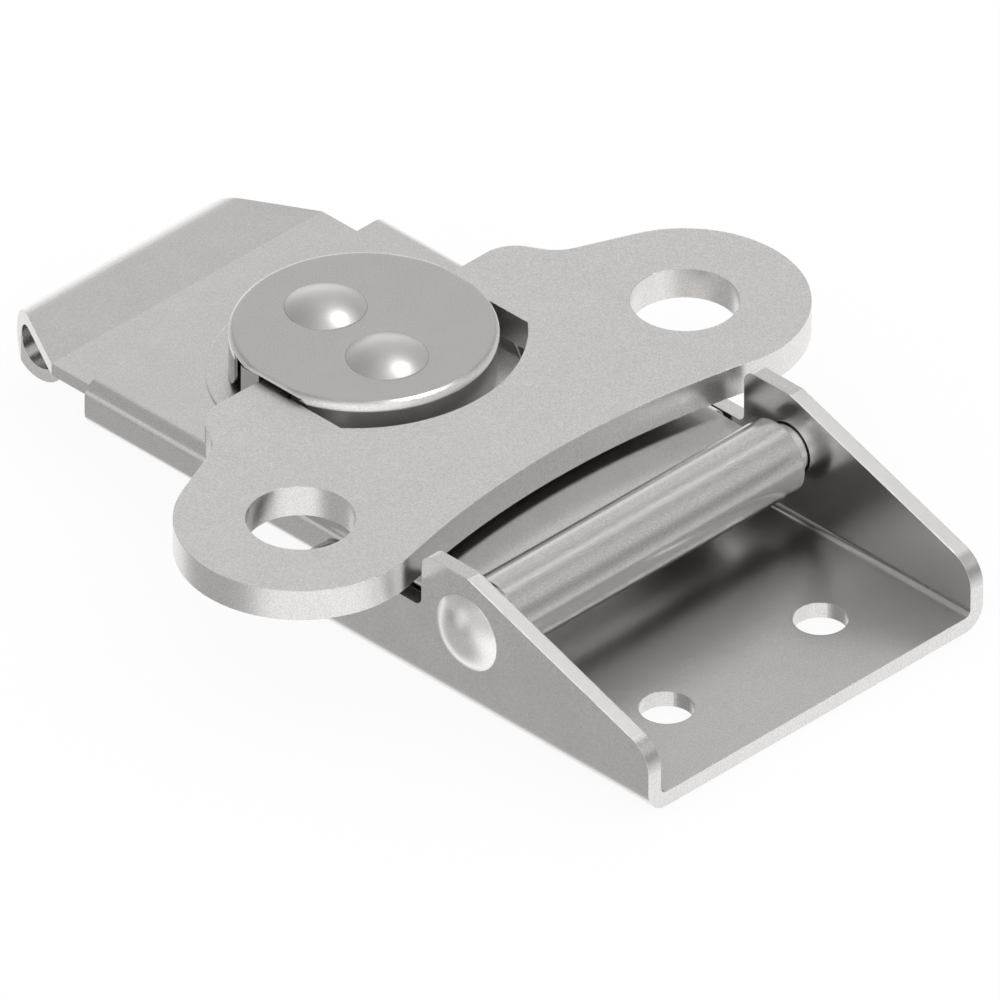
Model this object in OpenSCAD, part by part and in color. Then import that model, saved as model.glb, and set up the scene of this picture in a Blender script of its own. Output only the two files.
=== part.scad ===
// Rotary draw latch of folded and riveted stainless sheet.
// X runs along the latch, from the draw hook to the free end of the base.
// Y runs across it and Z points up. The origin is midway between the two
// screw holes, on the underside of the base.

/* [Base bracket] */
// Width over the two side walls
base_w = 43.4; // [42:0.2:50]
// Thickness of the base sheet
base_t = 1.6; // [1.2:0.1:2]
// Reach of the base in front of the screw holes
base_front = 9.3; // [8:0.1:16]
// Reach of the base behind the screw holes
base_rear = 35.3; // [32:0.1:38]
// Radius of the fold, on the outside
base_fold_r = 2.3; // [2.2:0.1:3]
// Height of the low side walls beside the carrier
wall_h = 8.8; // [8:0.1:10]
// Height of the ears
ear_h = 14.7; // [14:0.1:17]
// Distance from the pin axis back to the ears' rear edge
ear_back = 5.8; // [4.5:0.1:7]
// Slope of the ears' front edge, degrees
ear_slope = 18.95; // [12:0.5:24]
// Radius of the ears' rear top corner
ear_rear_r = 1.3; // [0.8:0.1:3]
// Radius of the ears' front corner
ear_front_r = 3.2; // [1:0.1:4]
// Distance between the two screw holes
screw_spacing = 20; // [16:0.5:28]
// Diameter of the screw holes
screw_hole_d = 5.15; // [3.5:0.05:6.5]

/* [Pivot pin] */
// Distance from the screw holes back to the pin axis
pin_x = 14.08; // [12:0.1:20]
// Height of the pin axis above the underside of the base
pin_z = 8.74; // [8:0.02:9.5]
// Diameter of the pin
pin_d = 5.1; // [4:0.1:5.4]
// Radial clearance between the pin and the rolled knuckle
pin_gap = 0.05; // [0.02:0.01:0.1]
// Radial clearance between the pin and the ears
ear_gap = 0.2; // [0.05:0.05:0.3]
// Diameter of the domed pin heads
pin_head_d = 7.8; // [7:0.1:9]
// Height of the domed pin heads
pin_head_h = 1.5; // [0.8:0.1:2]

/* [Carrier] */
// Gap between the carrier's rails and the base's walls, on each side
carrier_gap = 0.5; // [0.3:0.05:1]
// Thickness of the carrier sheet
carrier_t = 1.6; // [1.2:0.1:1.8]
// Height of the carrier's top face above the pin axis
plate_rise = 1.23; // [1:0.01:1.4]
// Reach of the carrier behind the rotor axis
carrier_rear = 16.67; // [15:0.1:22]
// Width of the inturned lips under the hook plate
rail_lip = 5; // [3:0.1:5.5]
// Outside radius of the rail folds
rail_fold_r = 1.55; // [1:0.05:1.6]
// Outside diameter of the rolled knuckle
knuckle_d = 7.64; // [7:0.02:8.2]
// Distance from the carrier's sides in to the knuckle's ends
knuckle_inset = 1.3; // [0.8:0.1:3]
// Width of the seam where the rolled sheet ends on the plate
knuckle_seam = 0.3; // [0.1:0.05:0.5]

/* [Draw hook] */
// Gap between the hook plate and the carrier's rails, on each side
hook_gap = 0.45; // [0.2:0.05:0.8]
// Thickness of the hook sheet
hook_t = 1.3; // [1:0.05:1.4]
// Distance from the rotor axis to where the hook's sides start to taper
hook_taper_x = 23.07; // [20:0.1:30]
// Distance from the rotor axis to the outermost point of the curl
hook_end_x = 33.37; // [31:0.1:40]
// Width of the hook at the outermost point of the curl
hook_end_w = 23.7; // [20:0.1:26]
// Width of the curl's lip
lip_w = 24.92; // [20:0.1:26]
// Outside radius of the curl
curl_r = 3.5; // [3:0.1:4]
// Height of the straight wall between the curl's two bends
curl_wall = 0.48; // [0.1:0.02:0.6]
// How far the lip's edge stays below the height where the lower bend ends
lip_short = 0.1; // [0.05:0.05:1]
// Radius of the lip's corners
lip_corner_r = 2; // [0.5:0.1:2]
// Width of the bar that closes the cross slot
hook_bar = 3.6; // [3:0.1:5]

/* [Rotor] */
// Offset of the cam from the rotor axis, half of the hook's travel
cam_offset = 5; // [4:0.1:5]
// Diameter of the cam
cam_d = 11; // [9:0.1:11]
// Clearance between the cam and the cross slot, on each side
cam_gap = 0.7; // [0.65:0.05:0.9]
// How much wider the journal is than the cam's reach, on each side
cam_shoulder = 0.1; // [0.05:0.05:0.5]
// Radial clearance of the journal
journal_gap = 0.05; // [0.02:0.01:0.1]
// Width of the hub across its two flats
hub_flat_w = 23; // [22:0.1:23.6]
// Gap between the cap's tongue and the recessed back of the hub
recess_gap = 0.7; // [0.3:0.1:1]
// Diameter of the wear washer
wear_d = 29.14; // [26:0.1:31]
// Thickness of the wear washer
wear_t = 0.2; // [0.1:0.02:0.2]
// Diameter of the retaining washer under the hook plate
retainer_d = 24; // [23:0.1:26]
// Thickness of the retaining washer
retainer_t = 1.1; // [0.8:0.1:1.2]
// Diameter of the peened foot of the cam rivet
rivet_foot_d = 6.4; // [5:0.1:8]
// Thickness of the detent leaf spring
leaf_t = 0.3; // [0.2:0.05:0.35]

/* [Cap] */
// Diameter of the cap
cap_d = 24.9; // [24.6:0.1:25.2]
// Thickness of the cap sheet
cap_t = 0.45; // [0.3:0.05:0.5]
// Depth of the cap's rim
cap_rim = 0.95; // [0.8:0.05:1]
// Distance from the rotor axis forward to where the rim starts
cap_rim_x = 4.2; // [3.8:0.1:5]
// Distance from the rotor axis back to where the cap's tongue starts
tongue_x = 5.9; // [5.2:0.1:7]
// Radius of the tongue's lower corners
tongue_r = 1.5; // [0.5:0.1:2]
// Diameter of the domed rivet heads
cap_rivet_d = 7.7; // [6:0.1:8]
// Height of the domed rivet heads
cap_rivet_h = 1.05; // [0.6:0.05:1.4]
// Diameter of the rivet shanks
cap_shank_d = 3.2; // [2.5:0.1:3.6]

/* [Butterfly handle] */
// Thickness of the handle
handle_t = 3.2; // [2.8:0.05:3.2]
// Height of the axis about which the handle folds, above the carrier
fold_rise = 2.49; // [2.4:0.01:2.6]
// Width of the handle over its two wings
handle_w = 73.1; // [68:0.1:80]
// Radius of the wings' round ends
wing_r = 11.66; // [10:0.1:12]
// Distance from the rotor axis forward to the wings' centres
wing_x = 16.76; // [15:0.1:17]
// Gap between the wings and the ears
wing_gap = 0.73; // [0.3:0.01:2]
// Diameter of the finger holes
finger_hole_d = 10.12; // [8:0.1:12]
// Distance from the rotor axis to the centre of the front arc
front_arc_x = 119; // [100:1:150]
// Half width of the straight back edge, to the unrounded corner
shoulder_y = 19.7; // [18:0.1:20.5]
// Radius of the shoulder corners
shoulder_r = 3.8; // [2:0.1:4.5]
// Angle of the slanted edge beside each shoulder, degrees
neck_angle = 29; // [25:1:34]
// Radius of the necks between the slanted edges and the wings
neck_r = 4.4; // [2:0.1:5]
// Angle of the wings' back edges, degrees
wing_back_angle = 67.5; // [64:0.5:75]
// Width of the tabs that lie in the hub
tab_w = 3.1; // [2.6:0.05:3.1]
// Distance between the ends of the two tabs
tab_inner = 17; // [15:0.1:20]
// Radius of the tabs' long edges
tab_edge_r = 0.5; // [0.45:0.05:0.8]
// Gap between the cap's flats and the handle, on each side
opening_gap = 0.15; // [0.1:0.05:0.5]
// Gap between the cap and the opening's front arc
pit_gap = 2.24; // [1:0.02:3]

/* [Hidden] */
$fn = 96;

// Small overlap that lets a cut pass cleanly through a face.
cut = 1;
// How far one solid of a piece reaches into the next, so that they join.
root = 0.2;
// Clearance between plates that slide or lie on each other.
slide_gap = 0.19;
// Clearance between pieces that turn past each other.
turn_gap = 0.12;
// Clearance of the tabs' corners as they turn in the hub, above and below.
swing_gap = 0.06;
// Clearance between the hook plate and the rails' lips.
lip_gap = 0.06;
// Clearance between the cap's skirt and the hub inside it.
skirt_gap = 0.1;
// Share by which a corner piece reaches past the edges that it rounds.
overlap = 1.04;

ear_inner_y = base_w / 2 - base_t;
carrier_w = 2 * (ear_inner_y - carrier_gap);
hook_w = carrier_w - 2 * (carrier_t + hook_gap);
rotor_x = pin_x + ear_back + wing_gap + wing_r + wing_x;
base_fold_inner_r = base_fold_r - base_t;
wall_rear_r = 3;
wall_step_r = 0.8;
ear_flat = ear_back + 0.1;

knuckle_l = carrier_w - 2 * knuckle_inset;
knuckle_r = knuckle_d / 2;
knuckle_bore_r = pin_d / 2 + pin_gap;
knuckle_fillet_r = 2;
rail_front_gap = 4;
rail_front_x = -pin_x - knuckle_r - rail_front_gap;

carrier_z = pin_z + plate_rise;
plate_under_z = carrier_z - carrier_t;
rail_h = 2 * carrier_t + hook_t + slide_gap + lip_gap;
rail_under_z = carrier_z - rail_h;
carrier_back_x = -rotor_x - carrier_rear;
rail_fold_inner_r = max(rail_fold_r - carrier_t, 0.2);

hook_top_z = plate_under_z - slide_gap;
hook_under_z = hook_top_z - hook_t;
band_drop = 0.04;
band_z = hook_top_z - band_drop;
end_x = -rotor_x - hook_end_x;
curl_x = end_x + curl_r;
curl_up_z = band_z - curl_r;
curl_down_z = curl_up_z - curl_wall;
curl_low_z = curl_down_z - curl_r;
lip_z = curl_down_z - lip_short;
slot_r = cam_d / 2 + cam_gap;
slot_x = -rotor_x + cam_offset;
hook_front_x = slot_x + slot_r + hook_bar;
taper_x = -rotor_x - hook_taper_x;
taper_run = (hook_w - hook_end_w) / 2 / (taper_x - end_x);

fold_z = carrier_z + fold_rise;
// Reach of the tabs' corners as they turn, rounded up to a hundredth.
tab_swing_r = ceil(100 * (norm([tab_w / 2 - tab_edge_r, handle_t / 2 - tab_edge_r]) + tab_edge_r)) / 100;
cap_z = fold_z + tab_swing_r + swing_gap + cap_t;
cap_flat_w = hub_flat_w + 2 * cap_t;
cap_overhang = 0.2;
hub_d = cap_d - 2 * cap_overhang;
hub_recess_r = cap_d / 2 - cap_t - recess_gap;
journal_d = cam_d + 2 * (cam_offset + cam_shoulder);
wear_top_z = carrier_z + wear_t;
journal_under_z = hook_top_z + turn_gap;
retainer_top_z = hook_under_z - slide_gap;
rivet_foot_h = 0.8;
cap_under_z = cap_z - cap_t;
cap_rim_z = cap_z - cap_rim;
hub_step_z = cap_rim_z - turn_gap;
hub_neck_r = cap_d / 2 - cap_t - skirt_gap;
hub_flat_y = hub_flat_w / 2;
recess_x = tongue_x - 1.3;
tongue_gap = 0.2;
tongue_low_z = wear_top_z + tongue_gap;
cap_edge_r = cap_t + 0.1;
slot_floor_z = fold_z - tab_swing_r - swing_gap - leaf_t;
tab_slot_w = 2 * (tab_swing_r + turn_gap);
leaf_side_gap = 0.25;
leaf_end_gap = 0.3;
leaf_w = tab_slot_w - 2 * leaf_side_gap;
leaf_l = journal_d - 2 * leaf_end_gap;
// Places of the two rivets on the rotor, from its axis.
cap_rivet_at = [-4.8, -0.2];
cam_rivet_at = [4.9, -1.9];

wing_y = handle_w / 2 - wing_r;
handle_under_z = fold_z - handle_t / 2;
opening_back = 1.27;
opening_w = cap_flat_w + 2 * opening_gap;
opening_r = cap_d / 2 + pit_gap + opening_back;
tab_l = (opening_w - tab_inner) / 2 + root;
front_arc_r = norm([front_arc_x - wing_x, wing_y]) - wing_r;

// Unit vector from point a to point b.
function toward(a, b) = (b - a) / norm(b - a);

// A corner piece for the vertex v between the neighbours a and b: the kite
// between the two edges and the fillet circle. Taken away it rounds a corner
// that points out, added it fills a corner that points in.
module corner_piece(a, v, b, r) {
    ta = toward(v, a);
    tb = toward(v, b);
    half = acos(ta * tb) / 2;
    reach = r / tan(half);
    centre = v + (ta + tb) / norm(ta + tb) * r / sin(half);
    translate(centre)
        difference() {
            polygon([[0, 0], (v + ta * reach - centre) * overlap, (v - centre) * overlap,
                (v + tb * reach - centre) * overlap]);
            circle(r);
        }
}

// A profile drawn in X and Z, carried along Y and centred on the latch.
module along_y(width) {
    rotate([90, 0, 0])
        linear_extrude(width, center = true)
            children();
}

// A profile drawn in Y and Z, carried along X from one place to another.
module along_x(x_from, x_to) {
    translate([x_from, 0, 0])
        rotate([90, 0, 90])
            linear_extrude(x_to - x_from)
                children();
}

// A domed head on the plane Z = 0: a slice of a ball.
module dome(d, h) {
    ball_r = (d * d / 4 + h * h) / (2 * h);
    intersection() {
        translate([0, 0, h - ball_r])
            sphere(ball_r);
        cylinder(h = h + cut, d = d + cut);
    }
}

// Side view of the base: low walls behind, ears round the pin, and the
// sloping front edge.
module base_side() {
    foot_rear = [-base_rear, -cut];
    wall_top = [-base_rear, wall_h];
    step = [-pin_x - ear_back, wall_h];
    ear_top = [-pin_x - ear_back, ear_h];
    ear_end = [-pin_x - ear_back + ear_flat, ear_h];
    nose = [base_front, ear_h - (base_front + pin_x + ear_back - ear_flat) * tan(ear_slope)];
    foot_front = [base_front, -cut];
    difference() {
        polygon([foot_rear, [-base_rear, ear_h], ear_end, nose, foot_front]);
        difference() {
            translate([-base_rear - cut, wall_h])
                square([base_rear + cut - pin_x - ear_back, ear_h]);
            corner_piece(wall_top, step, ear_top, wall_step_r);
        }
        corner_piece(foot_rear, wall_top, step, wall_rear_r);
        corner_piece(step, ear_top, ear_end, ear_rear_r);
        corner_piece(ear_end, nose, foot_front, ear_front_r);
    }
}

// End view of the folded base sheet.
module base_section() {
    difference() {
        folded_u(base_w / 2, base_fold_r, 0);
        folded_u(ear_inner_y, base_fold_inner_r, base_t);
    }
}

// A U shape that is open upwards, with round corners below.
module folded_u(half_w, r, z) {
    translate([-half_w, z + r])
        square([2 * half_w, ear_h + cut]);
    translate([-half_w + r, z])
        square([2 * (half_w - r), r + cut]);
    for (side = [-1, 1])
        translate([side * (half_w - r), z + r])
            circle(r);
}

module base_bracket() {
    color("silver")
        difference() {
            intersection() {
                along_x(-base_rear - cut, base_front + cut)
                    base_section();
                along_y(base_w + 2 * cut)
                    base_side();
            }
            for (side = [-1, 1])
                translate([0, side * screw_spacing / 2, -cut])
                    cylinder(h = base_t + 2 * cut, d = screw_hole_d);
            translate([-pin_x, 0, pin_z])
                rotate([90, 0, 0])
                    cylinder(h = base_w + 2 * cut, r = pin_d / 2 + ear_gap, center = true);
        }
}

module pivot_pin() {
    color("gainsboro")
        translate([-pin_x, 0, pin_z]) {
            rotate([90, 0, 0])
                cylinder(h = base_w, d = pin_d, center = true);
            for (side = [-1, 1])
                translate([0, side * base_w / 2, 0])
                    rotate([-side * 90, 0, 0])
                        dome(pin_head_d, pin_head_h);
        }
}

// End view of the carrier: top plate, two rails and their inturned lips.
module carrier_section() {
    half_w = carrier_w / 2;
    outer_low = [half_w, rail_under_z];
    difference() {
        translate([-half_w, rail_under_z])
            square([carrier_w, rail_h]);
        translate([-half_w + carrier_t, rail_under_z + carrier_t])
            square([carrier_w - 2 * carrier_t, rail_h - 2 * carrier_t]);
        translate([-half_w + rail_lip, rail_under_z - cut])
            square([carrier_w - 2 * rail_lip, carrier_t + 2 * cut]);
        for (side = [-1, 1]) {
            corner_piece([0, carrier_z], [side * half_w, carrier_z],
                [side * half_w, rail_under_z], rail_fold_r);
            corner_piece([0, rail_under_z], [side * half_w, rail_under_z],
                [side * half_w, carrier_z], rail_fold_r);
        }
    }
    for (side = [-1, 1]) {
        inner = side * (half_w - carrier_t);
        corner_piece([0, plate_under_z], [inner, plate_under_z],
            [inner, rail_under_z], rail_fold_inner_r);
        corner_piece([0, rail_under_z + carrier_t], [inner, rail_under_z + carrier_t],
            [inner, plate_under_z], rail_fold_inner_r);
    }
}

// Side view of the plate's front and the knuckle that is rolled from it:
// down behind the pin, under it and back over the top, where the sheet ends
// on the plate with a narrow seam.
module knuckle_side() {
    drop = pin_z - (plate_under_z - knuckle_fillet_r);
    span = sqrt(pow(knuckle_r + knuckle_fillet_r, 2) - drop * drop);
    fillet_at = [-pin_x - span, plate_under_z - knuckle_fillet_r];
    difference() {
        union() {
            translate([rail_front_x - cut, plate_under_z])
                square([-pin_x - rail_front_x + cut, carrier_t]);
            translate([-pin_x, pin_z])
                circle(knuckle_r);
            difference() {
                polygon([fillet_at, [fillet_at[0], plate_under_z + 0.1], [-pin_x, plate_under_z + 0.1],
                    [-pin_x, pin_z]]);
                translate(fillet_at)
                    circle(knuckle_fillet_r);
            }
        }
        translate([-pin_x, pin_z])
            circle(knuckle_bore_r);
        translate([-pin_x - knuckle_d, carrier_z])
            square([knuckle_d, knuckle_seam]);
    }
}

module carrier() {
    color("silver")
        difference() {
            union() {
                along_x(carrier_back_x, rail_front_x)
                    carrier_section();
                along_y(knuckle_l)
                    knuckle_side();
            }
            translate([-rotor_x, 0, plate_under_z - cut])
                cylinder(h = carrier_t + 2 * cut, r = journal_d / 2 + journal_gap);
        }
}

module wear_washer() {
    color("lightgray")
        translate([-rotor_x, 0, carrier_z])
            difference() {
                cylinder(h = wear_t, d = wear_d);
                translate([0, 0, -cut])
                    cylinder(h = wear_t + 2 * cut, r = journal_d / 2 + journal_gap);
            }
}

// Side view of the hook sheet: flat plate, the band that falls away slightly
// where the sides taper, and the curl that comes back under it.
module hook_side() {
    difference() {
        union() {
            polygon([[hook_front_x, hook_top_z], [taper_x, hook_top_z], [curl_x, band_z],
                [curl_x, curl_up_z], [hook_front_x, curl_up_z]]);
            curl_outline(curl_r);
        }
        polygon([[hook_front_x + cut, hook_under_z], [taper_x, hook_under_z], [curl_x, band_z - hook_t],
            [curl_x, lip_z], [hook_front_x + cut, lip_z]]);
        curl_outline(curl_r - hook_t);
    }
}

// Two bends of a radius, one over the other, with the wall between them.
module curl_outline(r) {
    for (z = [curl_up_z, curl_down_z])
        translate([curl_x, z])
            circle(r);
    translate([curl_x - r, curl_down_z])
        square([2 * r, curl_wall]);
}

// Plan of the hook plate with its tapering end.
module hook_plan() {
    front_x = hook_front_x + cut;
    tail_x = end_x - cut;
    tail = hook_end_w / 2 - cut * taper_run;
    polygon([[front_x, -hook_w / 2], [front_x, hook_w / 2], [taper_x, hook_w / 2], [tail_x, tail],
        [tail_x, -tail], [taper_x, -hook_w / 2]]);
}

// What is cut from the lower half of the curl, so that the lip has straight
// sides and round corners.
module lip_trim() {
    half_z = (curl_up_z + curl_down_z) / 2;
    for (side = [-1, 1])
        translate([end_x - cut, side * lip_w / 2 + min(0, side) * hook_w, curl_low_z - cut])
            cube([2 * curl_r + 2 * cut, hook_w, half_z - curl_low_z + cut]);
    along_x(curl_x, curl_x + 2 * curl_r)
        for (side = [-1, 1])
            corner_piece([0, lip_z], [side * lip_w / 2, lip_z], [side * lip_w / 2, curl_low_z], lip_corner_r);
}

module draw_hook() {
    color("silver")
        difference() {
            intersection() {
                along_y(hook_w + 2 * cut)
                    hook_side();
                translate([0, 0, curl_low_z - cut])
                    linear_extrude(hook_top_z - curl_low_z + 2 * cut)
                        hook_plan();
            }
            lip_trim();
            cross_slot();
        }
}

// The cross slot in which the cam moves from side to side.
module cross_slot() {
    translate([slot_x, 0, hook_under_z - cut]) {
        for (side = [-1, 1])
            translate([0, side * cam_offset, 0])
                cylinder(h = hook_t + 2 * cut, r = slot_r);
        translate([-slot_r, -cam_offset, 0])
            cube([2 * slot_r, 2 * cam_offset, hook_t + 2 * cut]);
    }
}

// Half profile of the hub about its axis, from the journal to the top.
module hub_profile() {
    polygon([[0, journal_under_z], [journal_d / 2, journal_under_z],
        [journal_d / 2, wear_top_z], [hub_d / 2, wear_top_z], [hub_d / 2, hub_step_z],
        [hub_neck_r, hub_step_z], [hub_neck_r, cap_under_z], [0, cap_under_z]]);
}

module rotor_hub() {
    color("darkgray")
        translate([-rotor_x, 0, 0])
            difference() {
                union() {
                    intersection() {
                        rotate_extrude()
                            hub_profile();
                        translate([-hub_d, -hub_flat_y, journal_under_z - cut])
                            cube([2 * hub_d, 2 * hub_flat_y, cap_z]);
                    }
                    translate([cam_offset, 0, retainer_top_z])
                        cylinder(h = journal_under_z - retainer_top_z + root, d = cam_d);
                }
                hub_recess();
                translate([-tab_slot_w / 2, -hub_d, slot_floor_z])
                    cube([tab_slot_w, 2 * hub_d, cap_z]);
                rivet_holes(retainer_top_z - cut);
            }
}

// The two rivet holes of the rotor, from a height up through the cap.
module rivet_holes(low) {
    for (p = [cap_rivet_at, cam_rivet_at])
        translate([p[0], p[1], low])
            cylinder(h = cap_z + cut - low, d = cap_shank_d);
}

// Recess in the hub's back, where the cap's tongue comes down.
module hub_recess() {
    translate([0, 0, wear_top_z])
        difference() {
            translate([-hub_d, -hub_d, 0])
                cube([hub_d - recess_x, 2 * hub_d, cap_z]);
            translate([0, 0, -cut])
                cylinder(h = cap_z + 2 * cut, r = hub_recess_r);
        }
}

// Leaf spring on the floor of the tab slot, under both tabs.
module detent_spring() {
    color("lightsteelblue")
        translate([-rotor_x - leaf_w / 2, -leaf_l / 2, slot_floor_z])
            cube([leaf_w, leaf_l, leaf_t]);
}

// Drawn cap: a flat top with two flats, a low rim in front, and a deep
// tongue behind that hides the back of the hub.
module rotor_cap() {
    color("silver")
        translate([-rotor_x, 0, 0])
            difference() {
                rotate_extrude()
                    cap_profile();
                for (side = [-1, 1])
                    translate([-cap_d, side * cap_flat_w / 2 + min(0, side) * cap_d, tongue_low_z - cut])
                        cube([2 * cap_d, cap_d, cap_z]);
                along_y(2 * cap_d)
                    cap_side_cut();
                rivet_holes(cap_under_z - cut);
            }
}

// Side view of what is cut from the cap's skirt: all of it at the flats, and
// what lies below the rim in front.
module cap_side_cut() {
    low = tongue_low_z - cut;
    slant = cap_rim - cap_t;
    polygon([[-tongue_x, low], [-tongue_x, cap_under_z], [cap_rim_x - slant, cap_under_z],
        [cap_rim_x, cap_rim_z], [cap_d, cap_rim_z], [cap_d, low]]);
    corner_piece([-cap_d, tongue_low_z], [-tongue_x, tongue_low_z], [-tongue_x, cap_z], tongue_r);
}

// Half profile of the drawn cap, with its skirt turned down.
module cap_profile() {
    difference() {
        translate([0, tongue_low_z])
            square([cap_d / 2, cap_z - tongue_low_z]);
        translate([-cut, tongue_low_z - cut])
            square([cap_d / 2 - cap_t + cut, cap_under_z - tongue_low_z + cut]);
        corner_piece([0, cap_z], [cap_d / 2, cap_z], [cap_d / 2, tongue_low_z], cap_edge_r);
    }
}

// A rivet of the rotor: domed head on the cap and a shank down to a height.
module rotor_rivet(at, low) {
    translate([-rotor_x + at[0], at[1], 0]) {
        translate([0, 0, low])
            cylinder(h = cap_z + root - low, d = cap_shank_d);
        translate([0, 0, cap_z])
            dome(cap_rivet_d, cap_rivet_h);
    }
}

module cap_rivet() {
    color("gainsboro")
        rotor_rivet(cap_rivet_at, journal_under_z);
}

// The rivet that goes on through the cam, with its foot peened under the
// retaining washer.
module cam_rivet() {
    foot_z = retainer_top_z - retainer_t;
    color("gainsboro") {
        rotor_rivet(cam_rivet_at, foot_z);
        translate([-rotor_x + cam_rivet_at[0], cam_rivet_at[1], foot_z])
            rotate([180, 0, 0])
                dome(rivet_foot_d, rivet_foot_h);
    }
}

module retaining_washer() {
    color("gray")
        translate([-rotor_x, 0, 0])
            difference() {
                translate([0, 0, retainer_top_z - retainer_t])
                    cylinder(h = retainer_t, d = retainer_d);
                translate([cam_rivet_at[0], cam_rivet_at[1], retainer_top_z - retainer_t - cut])
                    cylinder(h = retainer_t + 2 * cut, d = cap_shank_d);
            }
}

// One side of the handle: the slanted edge that starts at the shoulder, the
// neck, and the wing with its back edge at a tangent.
module handle_side_plan() {
    wing = [wing_x, wing_y];
    shoulder = [-tab_w / 2, shoulder_y];
    slant = [cos(neck_angle), sin(neck_angle)];
    back = [cos(wing_back_angle), sin(wing_back_angle)];
    back_touch = wing + wing_r * [-back[1], back[0]];
    gap = back_touch - shoulder;
    slant_l = (gap[0] * back[1] - gap[1] * back[0]) / (slant[0] * back[1] - slant[1] * back[0]);
    neck = shoulder + slant * slant_l;
    shoulder_fit = min(shoulder_r, slant_l * 0.55 * tan(45 + neck_angle / 2));
    neck_fit = min(neck_r, slant_l * 0.4 / tan((wing_back_angle - neck_angle) / 2));
    front_touch = wing + wing_r * toward(wing, [front_arc_x, 0]);
    difference() {
        union() {
            polygon([[-tab_w / 2, -cut], shoulder, neck, back_touch, wing, front_touch,
                [front_touch[0], -cut]]);
            translate(wing)
                circle(wing_r);
            corner_piece(shoulder, neck, back_touch, neck_fit);
        }
        corner_piece([-tab_w / 2, 0], shoulder, neck, shoulder_fit);
        translate(wing)
            circle(d = finger_hole_d);
    }
}

// Plan of the whole handle about the rotor axis, without its tabs.
module handle_plan() {
    difference() {
        union()
            for (side = [0, 1])
                mirror([0, side])
                    handle_side_plan();
        translate([front_arc_x, 0])
            circle(front_arc_r, $fn = 360);
        intersection() {
            translate([-tab_w / 2 - cut, -opening_w / 2])
                square([2 * opening_r, opening_w]);
            union() {
                translate([-opening_back, 0])
                    circle(opening_r);
                translate([-tab_w / 2 - cut, -opening_w / 2])
                    square([opening_r / 2, opening_w]);
            }
        }
    }
}

// Section of a tab across its length, with round edges.
module tab_section() {
    inner = [tab_w / 2 - tab_edge_r, handle_t / 2 - tab_edge_r];
    square([tab_w, 2 * inner[1]], center = true);
    square([2 * inner[0], handle_t], center = true);
    for (sx = [-1, 1], sz = [-1, 1])
        translate([sx * inner[0], sz * inner[1]])
            circle(tab_edge_r);
}

module butterfly_handle() {
    color("silver")
        translate([-rotor_x, 0, 0]) {
            translate([0, 0, handle_under_z])
                linear_extrude(handle_t)
                    handle_plan();
            for (side = [-1, 1])
                translate([0, side * (tab_inner / 2 + tab_l / 2), fold_z])
                    along_y(tab_l)
                        tab_section();
        }
}

base_bracket();
pivot_pin();
carrier();
wear_washer();
draw_hook();
rotor_hub();
detent_spring();
rotor_cap();
cap_rivet();
cam_rivet();
retaining_washer();
butterfly_handle();
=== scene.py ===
import math

import bpy
from mathutils import Matrix, Vector

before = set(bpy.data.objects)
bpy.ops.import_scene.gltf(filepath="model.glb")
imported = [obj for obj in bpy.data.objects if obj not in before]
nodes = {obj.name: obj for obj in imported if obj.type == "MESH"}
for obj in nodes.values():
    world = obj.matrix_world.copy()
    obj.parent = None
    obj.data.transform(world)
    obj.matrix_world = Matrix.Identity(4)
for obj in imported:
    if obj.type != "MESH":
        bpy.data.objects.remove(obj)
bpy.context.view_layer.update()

MM = 0.001
WHITE = (1, 1, 1, 1)
scene = bpy.context.scene

# The view: a very long lens from the right of the base's free end. VIEW_WIDTH is
# what the picture spans at AIM.
LENS = 1500
SENSOR = 36
VIEW_WIDTH = 91.44 * MM
AIM = Vector((-27.091, -4.322, 8.534)) * MM
TO_CAMERA = Vector((0.57934, -0.5828, 0.56988)).normalized()
VIEW_UP = Vector((-0.4032, 0.402, 0.8221))

# The steel of every piece. WARM_TINT is the red, green and blue of its grey.
WARM_TINT = (1.0, 0.984, 0.968)
GRAIN_SIZE = 0.125 * MM
GRAIN_BUMP = 0.25
CLOUDS_PER_METRE = 260.0
CLOUD_SWING = 0.015
# Nearly all values of a noise lie in this band.
NOISE_BAND = (0.3, 0.7)
# How far the normal has turned where the wear and painted highlight of an edge start, and where
# they are full.
WEAR_AND_SHEEN_TURN = (0.01, 0.22)
# The share of the roughness that a worn edge loses.
WEAR_POLISH = 0.25
# The ambient occlusion of a place deep in a recess, and of an open one.
OPEN_BAND = (0.25, 0.95)
BEVEL_SAMPLES = 6
OPEN_SAMPLES = 8

# What a face is, by how far its normal lies along one axis: an open end of the
# channel along X, its walls and then its floor along Z, a sheared side of the
# hook along Y, and the top of the cap and then its rim along Z.
END_FACE = 0.5
WALL_TO_FLOOR = (0.2, 0.9)
SIDE_FACE = 0.9
TOP_TO_RIM = (0.995, 0.6)

# What the metal shows of the white studio: grey above, white below, with soft
# cards and, last, one small lamp. The grey fades into the white between the
# sines of two heights. Each card is its azimuth and elevation in degrees, the
# angles from its middle where it is full and where it ends, and what it adds.
SKY_LEVEL = 0.62
GROUND_LEVEL = 1.06
HORIZON_BAND = (-0.45, 0.22)
CARDS = [
    (135, 36, 8, 24, 0.07),
    (-150, 44, 20, 48, -0.18),
    (88, 48, 14, 30, -0.11),
    (35, -4, 16, 34, -0.26),
    (-128, -30, 22, 47, -0.58),
    (-120, 1, 7, 18, 0.46),
    (140, 2, 9, 24, 0.42),
    (-45, 52, 18, 40, 0.30),
    (88, 68, 3, 8, 12.0),
]

# The floor, just under the base. SHADOW_DEPTH is the share of a true shadow that it keeps.
FLOOR_HALF_SIDE = 2.0
FLOOR_Z = -0.05 * MM
SHADOW_DEPTH = 0.10


# Node tools.

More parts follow.
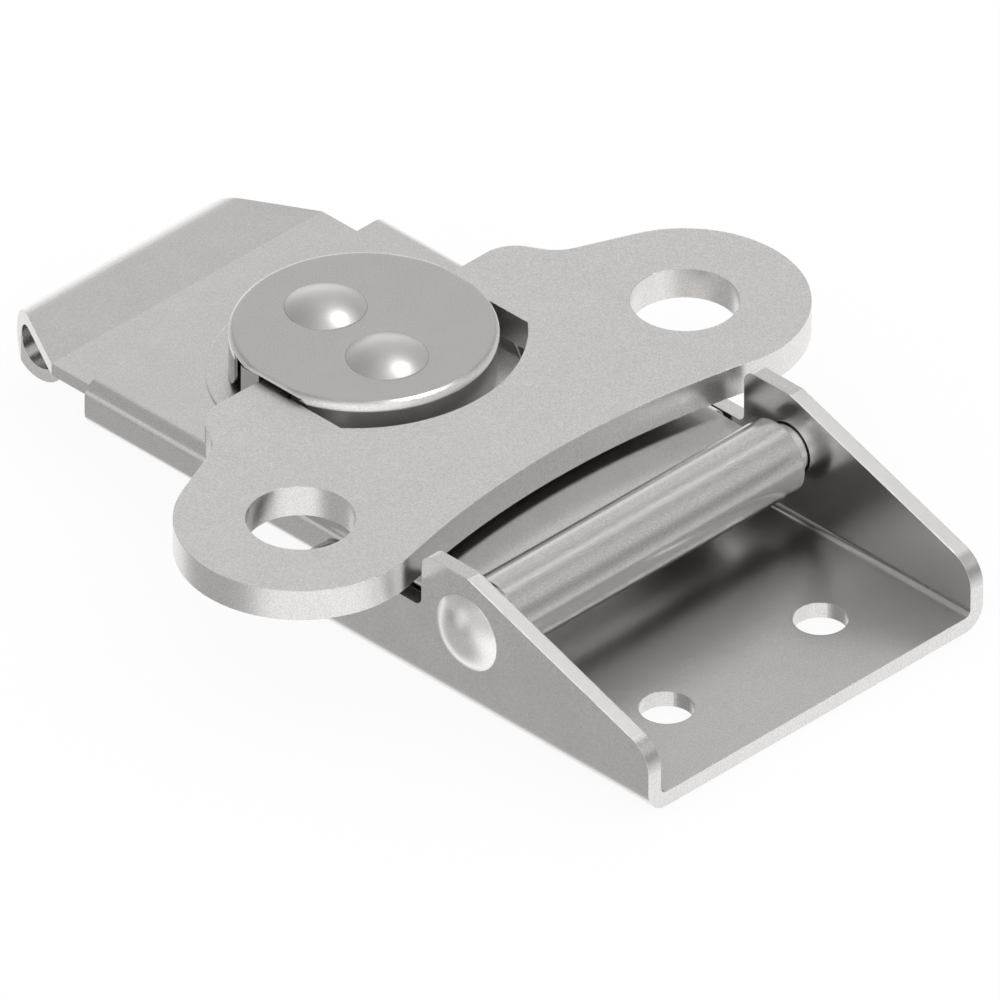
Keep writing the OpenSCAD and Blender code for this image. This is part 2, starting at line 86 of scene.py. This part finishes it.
class Tree:
    """Short calls that make and link the nodes of one node tree."""

    def __init__(self, tree):
        self.tree = tree

    def add(self, kind, inputs=(), **settings):
        """A new node with these settings, its inputs linked or set."""
        node = self.tree.nodes.new(kind)
        for name, value in settings.items():
            setattr(node, name, value)
        for name, value in dict(inputs).items():
            self.put(node.inputs[name], value)
        return node

    def put(self, socket, value):
        """Links a socket, or a node's first output, to the socket, or sets a plain value."""
        if isinstance(value, bpy.types.NodeSocket):
            self.tree.links.new(value, socket)
        elif isinstance(value, bpy.types.Node):
            self.tree.links.new(value.outputs[0], socket)
        else:
            socket.default_value = value

    def math(self, operation, *values):
        inputs = dict(enumerate(values))
        return self.add("ShaderNodeMath", inputs, operation=operation).outputs[0]

    def vector(self, operation, *values):
        inputs = dict(enumerate(values))
        node = self.add("ShaderNodeVectorMath", inputs, operation=operation)
        return node.outputs["Value" if operation == "DOT_PRODUCT" else "Vector"]

    def ramp(self, value, low, high, to_low=0.0, to_high=1.0):
        """value from low..high to to_low..to_high, with soft ends."""
        inputs = {"Value": value, "From Min": low, "From Max": high,
                  "To Min": to_low, "To Max": to_high}
        node = self.add("ShaderNodeMapRange", inputs, interpolation_type="SMOOTHSTEP")
        return node.outputs["Result"]

    def noise(self, where, scale, detail, rough):
        inputs = {"Vector": where, "Scale": scale, "Detail": detail, "Roughness": rough}
        return self.add("ShaderNodeTexNoise", inputs).outputs["Fac"]

    def place(self):
        """The x, y and z of a point on the piece, in metres."""
        where = self.add("ShaderNodeTexCoord").outputs["Object"]
        return self.add("ShaderNodeSeparateXYZ", {0: where}).outputs

    def facing(self):
        """The x, y and z of the way that a face looks."""
        normal = self.add("ShaderNodeNewGeometry").outputs["Normal"]
        return self.add("ShaderNodeSeparateXYZ", {0: normal}).outputs

    def brighten(self, grey, mask, gain, base=1.0):
        """grey times base, plus gain of it where the mask is 1."""
        return self.math("MULTIPLY", grey, self.math("MULTIPLY_ADD", mask, gain, base))

    def lean(self, normal, mask, way):
        """The normal, leaning by the vector way where the mask is 1."""
        shift = self.add("ShaderNodeVectorMath", {0: Vector(way), "Scale": mask},
                         operation="SCALE").outputs["Vector"]
        return self.vector("NORMALIZE", self.vector("ADD", normal, shift))


def new_group(name, inputs, outputs):
    """A shader group with these inputs, each a name and its default, and these
    outputs, each a name and its kind. Gives the group, its Tree and its start."""
    group = bpy.data.node_groups.new(name, "ShaderNodeTree")
    for label, value in inputs.items():
        socket = group.interface.new_socket(label, in_out="INPUT", socket_type="NodeSocketFloat")
        socket.default_value = value
    for label, kind in outputs.items():
        group.interface.new_socket(label, in_out="OUTPUT", socket_type="NodeSocket" + kind)
    t = Tree(group)
    return group, t, t.add("NodeGroupInput").outputs


def new_material(name):
    """An empty node material, and its Tree."""
    material = bpy.data.materials.new(name)
    material.use_nodes = True
    material.node_tree.nodes.clear()
    return material, Tree(material.node_tree)


# Steel.

def edge_group():
    """How far a point is on a worn edge, which also gets a painted highlight: 0 on a
    face, up to 1 on the edge. The Bevel node turns the normal near an edge; the mask
    is how far it has turned."""
    group, t, start = new_group("worn_edge_highlight", {"Width": 0.2 * MM},
                                {"Mask": "Float", "Normal": "Vector"})
    rounded = t.add("ShaderNodeBevel", {"Radius": start["Width"]}, samples=BEVEL_SAMPLES).outputs[0]
    face = t.add("ShaderNodeNewGeometry").outputs["Normal"]
    turned = t.math("SUBTRACT", 1.0, t.vector("DOT_PRODUCT", rounded, face))
    t.add("NodeGroupOutput", {"Mask": t.ramp(turned, *WEAR_AND_SHEEN_TURN), "Normal": rounded})
    return group


def grain_group():
    """The fine matt grain of tumbled stainless sheet: a speckle at the size of
    the grain, and slow clouds over it."""
    group, t, start = new_group("steel_grain", {"Grain": GRAIN_SIZE},
                                {"Speckle": "Float", "Clouds": "Float"})
    where = t.add("ShaderNodeTexCoord").outputs["Object"]
    per_metre = t.math("DIVIDE", 1.0, start["Grain"])
    speckle = t.noise(where, per_metre, detail=1.0, rough=0.6)
    clouds = t.noise(where, CLOUDS_PER_METRE, detail=3.0, rough=0.55)
    t.add("NodeGroupOutput", {"Speckle": speckle, "Clouds": clouds})
    return group


def recess_shade_group():
    """How open a place is, by its ambient occlusion: 1 on an outer face, down to 0 deep
    in a channel. It masks the painted shade in recesses."""
    group, t, start = new_group("painted_recess_shade", {"Depth": 12 * MM}, {"Open": "Float"})
    near = t.add("ShaderNodeAmbientOcclusion", {"Distance": start["Depth"]},
                 samples=OPEN_SAMPLES, only_local=True)
    t.add("NodeGroupOutput", {"Open": t.ramp(near.outputs["AO"], *OPEN_BAND)})
    return group


EDGE = edge_group()
GRAIN = grain_group()
RECESS_SHADE = recess_shade_group()


# Painted shade and highlights on a part of a piece, some with a leaning
# normal. Each gives a step that takes a material's Tree, grey and normal, and
# gives the new grey and normal. Lengths are in mm.

def shade_recesses(shade_share, depth):
    """Painted shade: places in recesses that deep, by their ambient occlusion, are darker by the
    share dull.
    """
    def step(t, grey, normal):
        recess = t.add("ShaderNodeGroup", {"Depth": depth * MM}, node_tree=RECESS_SHADE)
        return t.brighten(grey, recess.outputs["Open"], shade_share, base=1 - shade_share), normal
    return step


def painted_channel_shade(half_width, wall_share, floor_share):
    """Painted shade on the faces of a channel within that half width: its walls and
    its floor have these shares of the tone, and its open ends are left as they
    are."""
    def step(t, grey, normal):
        place, face = t.place(), t.facing()
        within = t.math("LESS_THAN", t.math("ABSOLUTE", place[1]), half_width * MM)
        no_end = t.math("LESS_THAN", t.math("ABSOLUTE", face[0]), END_FACE)
        gain = t.ramp(face[2], *WALL_TO_FLOOR, wall_share - 1, floor_share - 1)
        return t.brighten(grey, t.math("MULTIPLY", within, no_end), gain), normal
    return step


def shaded_barrel(start_x, full_x, share):
    """Painted shade: between those places the sheet passes into a barrel, which has that share of
    the tone.
    """
    def step(t, grey, normal):
        rolled = t.ramp(t.place()[0], start_x * MM, full_x * MM)
        return t.brighten(grey, rolled, share - 1), normal
    return step


def end_shade_and_cut_highlight(past_x, gain, cut_lean, cut_highlight_gain):
    """Past that x the sheet is worked in a die, and a painted shade changes its tone
    there by gain. Its sheared side faces are rolled over by the cut, so their
    normal leans that way, and a painted highlight makes them brighter by cut_highlight_gain."""
    def step(t, grey, normal):
        end_part = t.math("LESS_THAN", t.place()[0], past_x * MM)
        side = t.math("GREATER_THAN", t.math("ABSOLUTE", t.facing()[1]), SIDE_FACE)
        cut = t.math("MULTIPLY", side, end_part)
        grey = t.brighten(t.brighten(grey, end_part, gain), cut, cut_highlight_gain)
        return grey, t.lean(normal, cut, cut_lean)
    return step


def rim_highlight(low, high, rise, gain):
    """The side of a drawn cap, above low and fully above high, is rolled, so its
    normal rises, and a painted highlight makes it brighter by gain."""
    def step(t, grey, normal):
        side = t.ramp(t.math("ABSOLUTE", t.facing()[2]), *TOP_TO_RIM)
        rim = t.math("MULTIPLY", side, t.ramp(t.place()[2], low * MM, high * MM))
        return t.brighten(grey, rim, gain), t.lean(normal, rim, (0, 0, rise))
    return step


def steel(name, tone, rough, speckle=0.12, edge=0.1, edge_highlight_gain=0.12, dent=0.015, shade_and_highlight_steps=()):
    """A satin steel: tone is its grey, rough its roughness, speckle the swing of
    its grain, edge the width in mm of the worn edge and edge_highlight_gain how much
    brighter its painted highlight is, dent the depth in mm of the grain, and
    work the steps that paint shade and highlights on parts of the piece."""
    material, t = new_material(name)
    wear_and_sheen = t.add("ShaderNodeGroup", {"Width": edge * MM}, node_tree=EDGE).outputs
    grain = t.add("ShaderNodeGroup", node_tree=GRAIN).outputs
    matt = t.ramp(grain["Speckle"], *NOISE_BAND, tone * (1 - speckle), tone * (1 + speckle))
    cloud = t.ramp(grain["Clouds"], *NOISE_BAND, 1 - CLOUD_SWING, 1 + CLOUD_SWING)
    # Painted highlight on the worn edges: brighter there by edge_highlight_gain.
    grey = t.brighten(t.math("MULTIPLY", matt, cloud), wear_and_sheen["Mask"], edge_highlight_gain)
    normal = wear_and_sheen["Normal"]
    for step in shade_and_highlight_steps:
        grey, normal = step(t, grey, normal)
    shades = {i: t.math("MULTIPLY", grey, part) for i, part in enumerate(WARM_TINT)}
    colour = t.add("ShaderNodeCombineColor", shades)
    bump = t.add("ShaderNodeBump", {"Strength": GRAIN_BUMP, "Distance": dent * MM,
                                    "Height": grain["Speckle"], "Normal": normal})
    smooth = t.math("MULTIPLY_ADD", wear_and_sheen["Mask"], -WEAR_POLISH * rough, rough)
    bsdf = t.add("ShaderNodeBsdfPrincipled", {"Base Color": colour, "Metallic": 1.0,
                                              "Roughness": smooth, "Normal": bump})
    t.add("ShaderNodeOutputMaterial", {"Surface": bsdf})
    return material


FINISH = {
    "base_bracket": steel(
        "satin_base", tone=0.75, rough=0.24, speckle=0.08, dent=0.008,
        shade_and_highlight_steps=[shade_recesses(shade_share=0.22, depth=14),
              painted_channel_shade(half_width=20.1, wall_share=0.75, floor_share=0.87)]),
    "pivot_pin": steel("bright_pin", tone=0.9, rough=0.26, speckle=0.05, dent=0.008),
    "carrier": steel(
        "satin_carrier", tone=0.75, rough=0.2, speckle=0.09, edge=0.05, dent=0.005,
        shade_and_highlight_steps=[shaded_barrel(start_x=-19.5, full_x=-16.5, share=0.95)]),
    "wear_washer": steel("satin_washer", tone=0.74, rough=0.28, edge=0.25, edge_highlight_gain=0.35),
    "draw_hook": steel(
        "satin_hook", tone=0.75, rough=0.24, speckle=0.08, edge=0.08, dent=0.008,
        shade_and_highlight_steps=[end_shade_and_cut_highlight(past_x=-72.1, gain=-0.085, cut_lean=(-0.32, 0.0, -0.13), cut_highlight_gain=0.3)]),
    "rotor_hub": steel("machined_hub", tone=0.75, rough=0.34, speckle=0.06),
    "detent_spring": steel("spring_leaf", tone=0.6, rough=0.3, speckle=0.05, edge=0.05),
    "rotor_cap": steel(
        "satin_cap", tone=0.60, rough=0.24, speckle=0.08, edge=0.3, edge_highlight_gain=0.4, dent=0.004,
        shade_and_highlight_steps=[rim_highlight(low=13.7, high=14.1, rise=0.65, gain=0.5)]),
    "cap_rivet": steel("bright_rivet", tone=0.66, rough=0.36, speckle=0.03, dent=0.004),
    "cam_rivet": steel("bright_cam_rivet", tone=0.66, rough=0.36, speckle=0.03, dent=0.004),
    "retaining_washer": steel("plain_washer", tone=0.55, rough=0.4),
    "butterfly_handle": steel("satin_handle", tone=0.765, rough=0.3, dent=0.008),
}
for name, material in FINISH.items():
    mesh = nodes[name].data
    mesh.materials.clear()
    mesh.materials.append(material)


# Studio and camera.

def heading(azimuth, elevation):
    """The unit vector of an azimuth and elevation in degrees."""
    a, e = math.radians(azimuth), math.radians(elevation)
    return Vector((math.cos(e) * math.cos(a), math.cos(e) * math.sin(a), math.sin(e)))


def surround():
    """The world: plain white at a strength of 1, where the metal sees the cards too."""
    world = bpy.data.worlds.new("surround")
    scene.world = world
    world.use_nodes = True
    world.node_tree.nodes.clear()
    t = Tree(world.node_tree)
    where = t.add("ShaderNodeTexCoord").outputs["Generated"]
    height = t.vector("DOT_PRODUCT", where, Vector((0, 0, 1)))
    level = t.ramp(height, *HORIZON_BAND, GROUND_LEVEL, SKY_LEVEL)
    for azimuth, elevation, full, end, gain in CARDS:
        across = t.vector("DOT_PRODUCT", where, heading(azimuth, elevation))
        rim, middle = math.cos(math.radians(end)), math.cos(math.radians(full))
        level = t.math("ADD", level, t.ramp(across, rim, middle, 0.0, gain))
    path = t.add("ShaderNodeLightPath").outputs
    shown = t.add("ShaderNodeMix", {"Factor": path["Is Glossy Ray"], "A": 1.0, "B": level})
    studio = t.add("ShaderNodeBackground", {"Color": WHITE, "Strength": shown})
    t.add("ShaderNodeOutputWorld", {"Surface": studio})


def floor():
    """A plain white floor, level with the base's underside, seen from above only. It
    is white by itself, and its diffuse part keeps a light shadow of the object."""
    side = FLOOR_HALF_SIDE
    corners = [(-side, -side, 0), (side, -side, 0), (side, side, 0), (-side, side, 0)]
    mesh = bpy.data.meshes.new("floor")
    mesh.from_pydata(corners, [], [(0, 1, 2, 3)])
    obj = bpy.data.objects.new("floor", mesh)
    obj.location.z = FLOOR_Z
    scene.collection.objects.link(obj)
    obj.visible_glossy = False
    material, t = new_material("white_floor")
    shade = t.add("ShaderNodeBsdfDiffuse", {"Color": WHITE})
    plain = t.add("ShaderNodeEmission", {"Strength": 1.0})
    path = t.add("ShaderNodeLightPath").outputs
    seen = t.math("MULTIPLY", path["Is Camera Ray"], 1 - SHADOW_DEPTH)
    white = t.add("ShaderNodeMixShader", {0: seen, 1: shade, 2: plain})
    back = t.add("ShaderNodeNewGeometry").outputs["Backfacing"]
    clear = t.add("ShaderNodeBsdfTransparent")
    open_below = t.add("ShaderNodeMixShader", {0: back, 1: white, 2: clear})
    t.add("ShaderNodeOutputMaterial", {"Surface": open_below})
    mesh.materials.append(material)


def camera():
    """A camera at the photo's angle, so far away that its view is nearly parallel."""
    eye = bpy.data.objects.new("camera", bpy.data.cameras.new("camera"))
    scene.collection.objects.link(eye)
    scene.camera = eye
    eye.data.lens = LENS
    eye.data.sensor_width = SENSOR
    distance = VIEW_WIDTH * LENS / SENSOR
    right = VIEW_UP.cross(TO_CAMERA).normalized()
    up = TO_CAMERA.cross(right)
    turn = Matrix((right, up, TO_CAMERA)).transposed()
    eye.matrix_world = Matrix.Translation(AIM + TO_CAMERA * distance) @ turn.to_4x4()
    eye.data.clip_start = distance / 2
    eye.data.clip_end = distance * 2


surround()
floor()
camera()
scene.view_settings.view_transform = "Standard"
